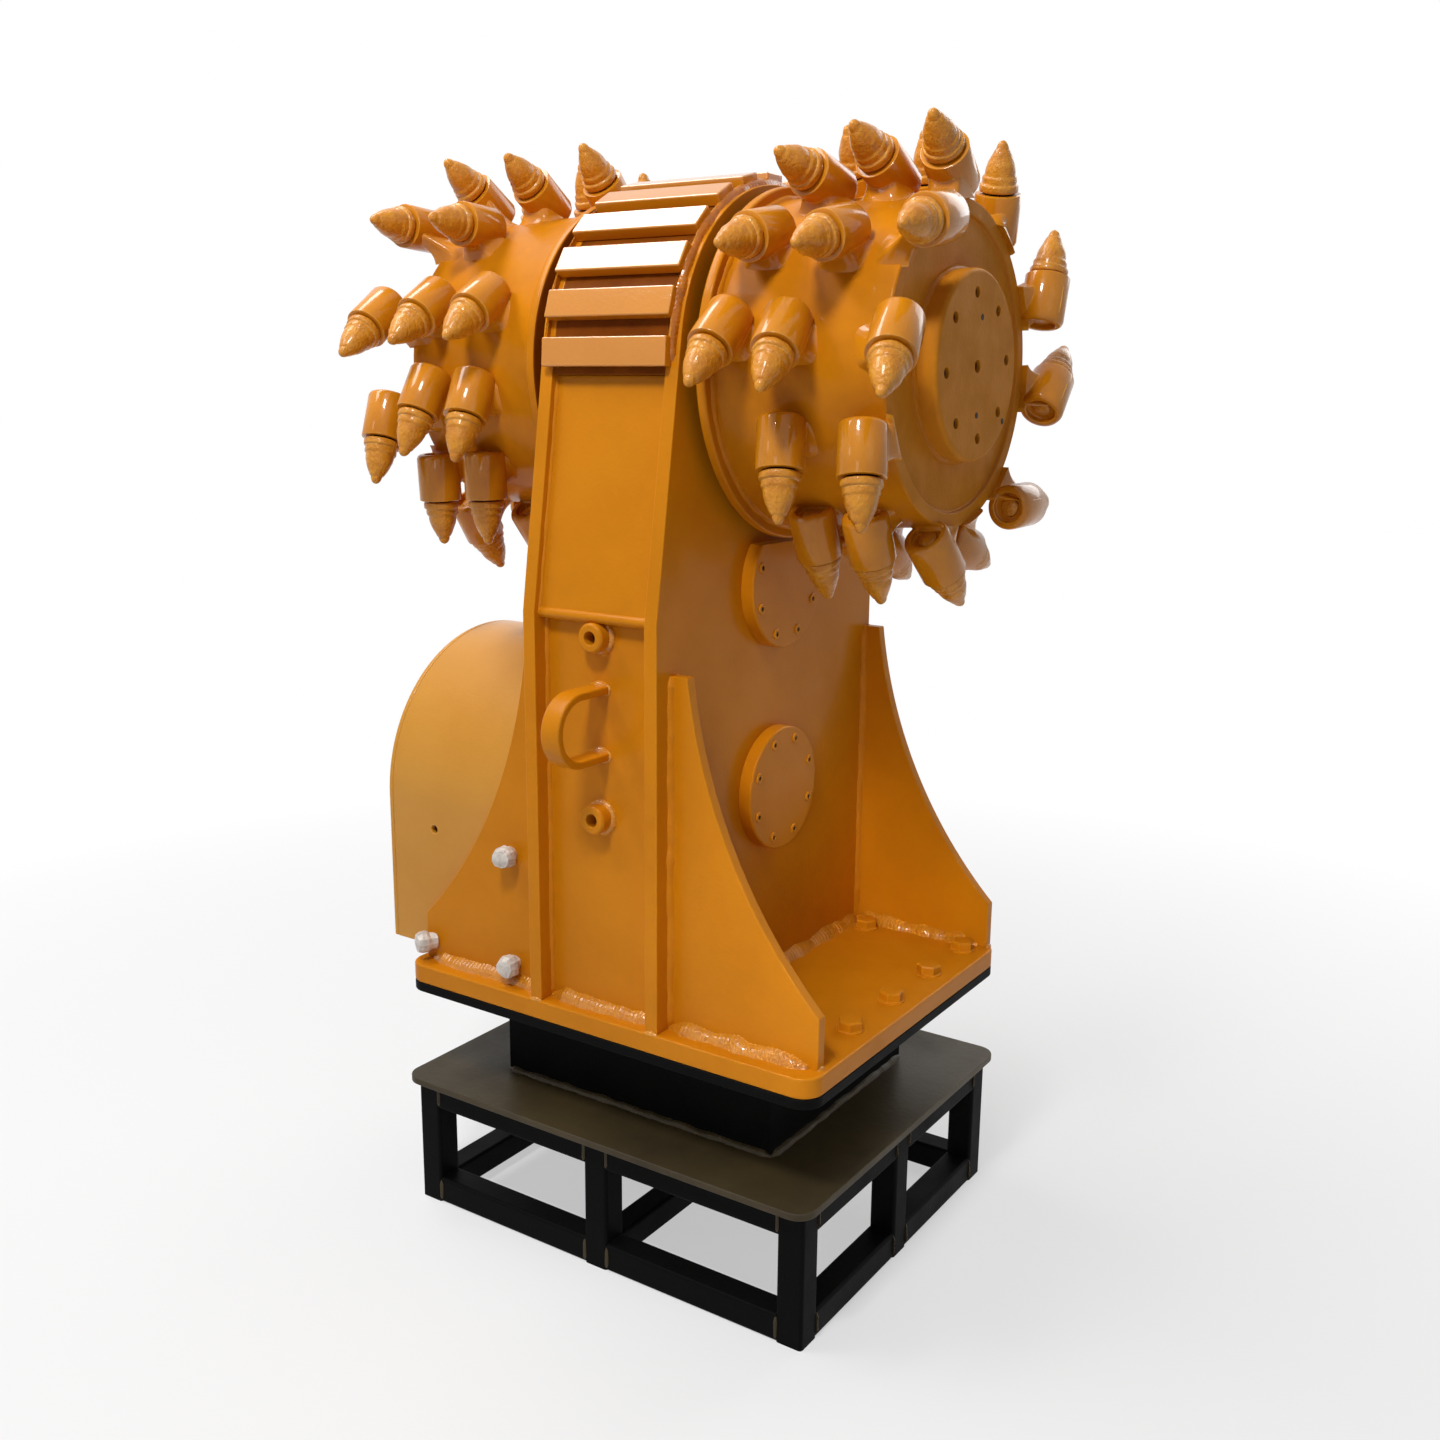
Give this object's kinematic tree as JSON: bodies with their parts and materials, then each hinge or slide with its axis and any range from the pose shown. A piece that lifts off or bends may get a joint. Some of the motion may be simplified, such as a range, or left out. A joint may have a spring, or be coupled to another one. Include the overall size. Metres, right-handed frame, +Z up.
{
  "type": "twin drum excavator milling head on a stand",
  "caption": "Excavator milling head: a tall gear column on a bolt flange carries a pick drum on each side, with a motor guard, on a low tube stand.",
  "frame": {"origin": "on the floor under the middle of the stand, at the underside of the cross rail", "axes": "+Z up, X along the drum axis, -Y to the narrow front face with the oil ports; +X is the side away from the motor guard"},
  "size_m": [0.8996, 0.6652, 1.5559],
  "materials": {
    "yellow_paint": "gloss",
    "pick_paint": "gloss",
    "black_paint": "satin",
    "plug_metal": "satin",
    "motor_iron": "matte",
    "shaft_steel": "satin"
  },
  "bodies": {
    "head": {"stand_corner_legs": "black_paint", "stand_middle_legs": "black_paint", "stand_floor_rails": "black_paint", "stand_top_rails": "black_paint", "stand_cross_rail": "black_paint", "stand_top_plate": "black_paint", "pedestal": "black_paint", "adapter_plate": "black_paint", "base_flange": "yellow_paint", "side_plate_left": "yellow_paint", "side_plate_right": "yellow_paint", "front_panel_lower": "yellow_paint", "front_panel_upper": "yellow_paint", "rear_panel_lower": "yellow_paint", "rear_panel_upper": "yellow_paint", "arch_sheet": "yellow_paint", "wear_bars": "yellow_paint", "gusset_front_left": "yellow_paint", "gusset_front_right": "yellow_paint", "gusset_rear_left": "yellow_paint", "gusset_rear_right": "yellow_paint", "bearing_cover_lower_right": "yellow_paint", "bearing_cover_upper_right": "yellow_paint", "bearing_cover_upper_left": "yellow_paint", "oil_ports": "yellow_paint", "lifting_eye": "yellow_paint", "hose_unions": "plug_metal", "motor_guard": "yellow_paint", "motor_guard_end": "yellow_paint", "hydraulic_motor": "motor_iron", "gear_train": "motor_iron"},
    "drums": {"drum_shaft": "shaft_steel", "drum_flange_left": "yellow_paint", "drum_shell_left": "yellow_paint", "drum_end_cover_left": "yellow_paint", "pick_holders_left": "yellow_paint", "picks_left": "pick_paint", "drum_flange_right": "yellow_paint", "drum_shell_right": "yellow_paint", "drum_end_cover_right": "yellow_paint", "pick_holders_right": "yellow_paint", "picks_right": "pick_paint"}
  },
  "joints": [
    {"name": "drum_spin", "type": "hinge", "parent": "head", "child": "drums", "pos_m": [0, 0, 1.251], "axis": [1, 0, 0], "continuous": true}
  ]
}
